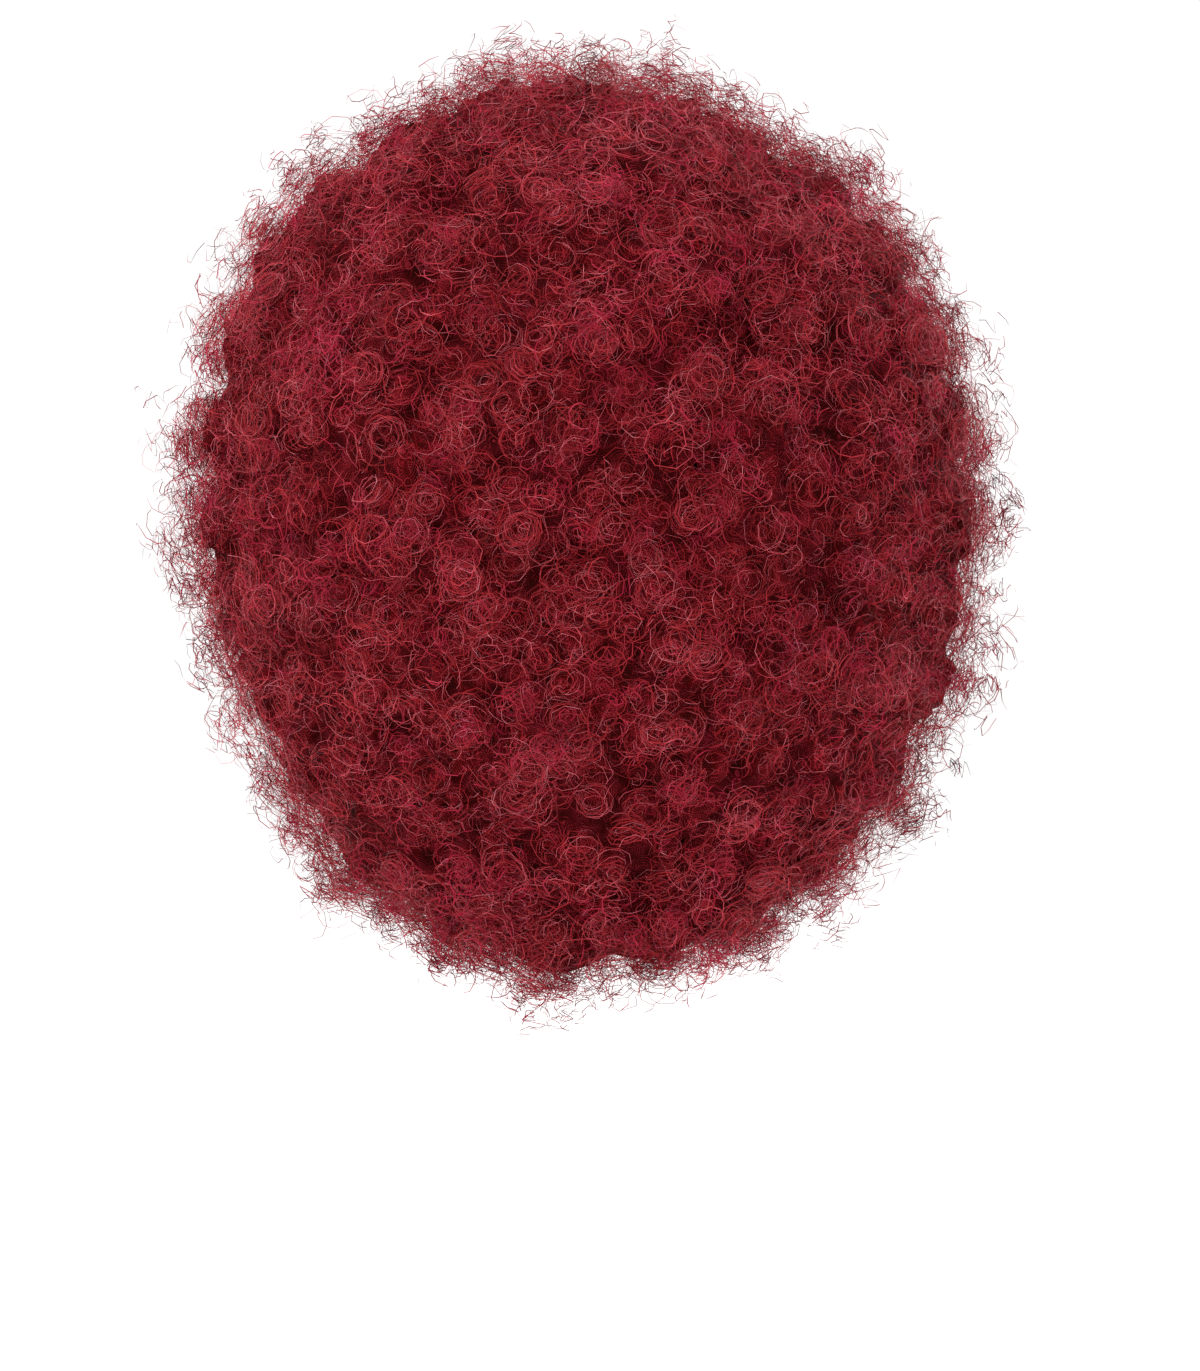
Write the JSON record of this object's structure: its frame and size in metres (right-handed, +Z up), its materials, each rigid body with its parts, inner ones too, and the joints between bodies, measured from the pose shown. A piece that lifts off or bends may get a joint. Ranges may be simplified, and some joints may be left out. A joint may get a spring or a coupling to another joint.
{
  "type": "afro wig",
  "caption": "Afro wig: a large round ball of tight coils on a close-fitting stretch cap with an elastic edge, open at the face and neck.",
  "frame": {"origin": "inside of the cap at its top, where the crown of the wearer's head sits", "axes": "+Z up, the wearer faces -Y, +X to the wearer's left"},
  "size_m": [0.403, 0.3981, 0.462],
  "materials": {
    "hair_fibre": "burgundy synthetic fibre in tight coils, satin",
    "cap_mesh": "dark stretch net, matt",
    "band_elastic": "dark ribbed elastic, matt"
  },
  "bodies": {
    "root": {"hair": "hair_fibre", "wig_cap": "cap_mesh", "edge_band": "band_elastic"}
  },
  "joints": []
}
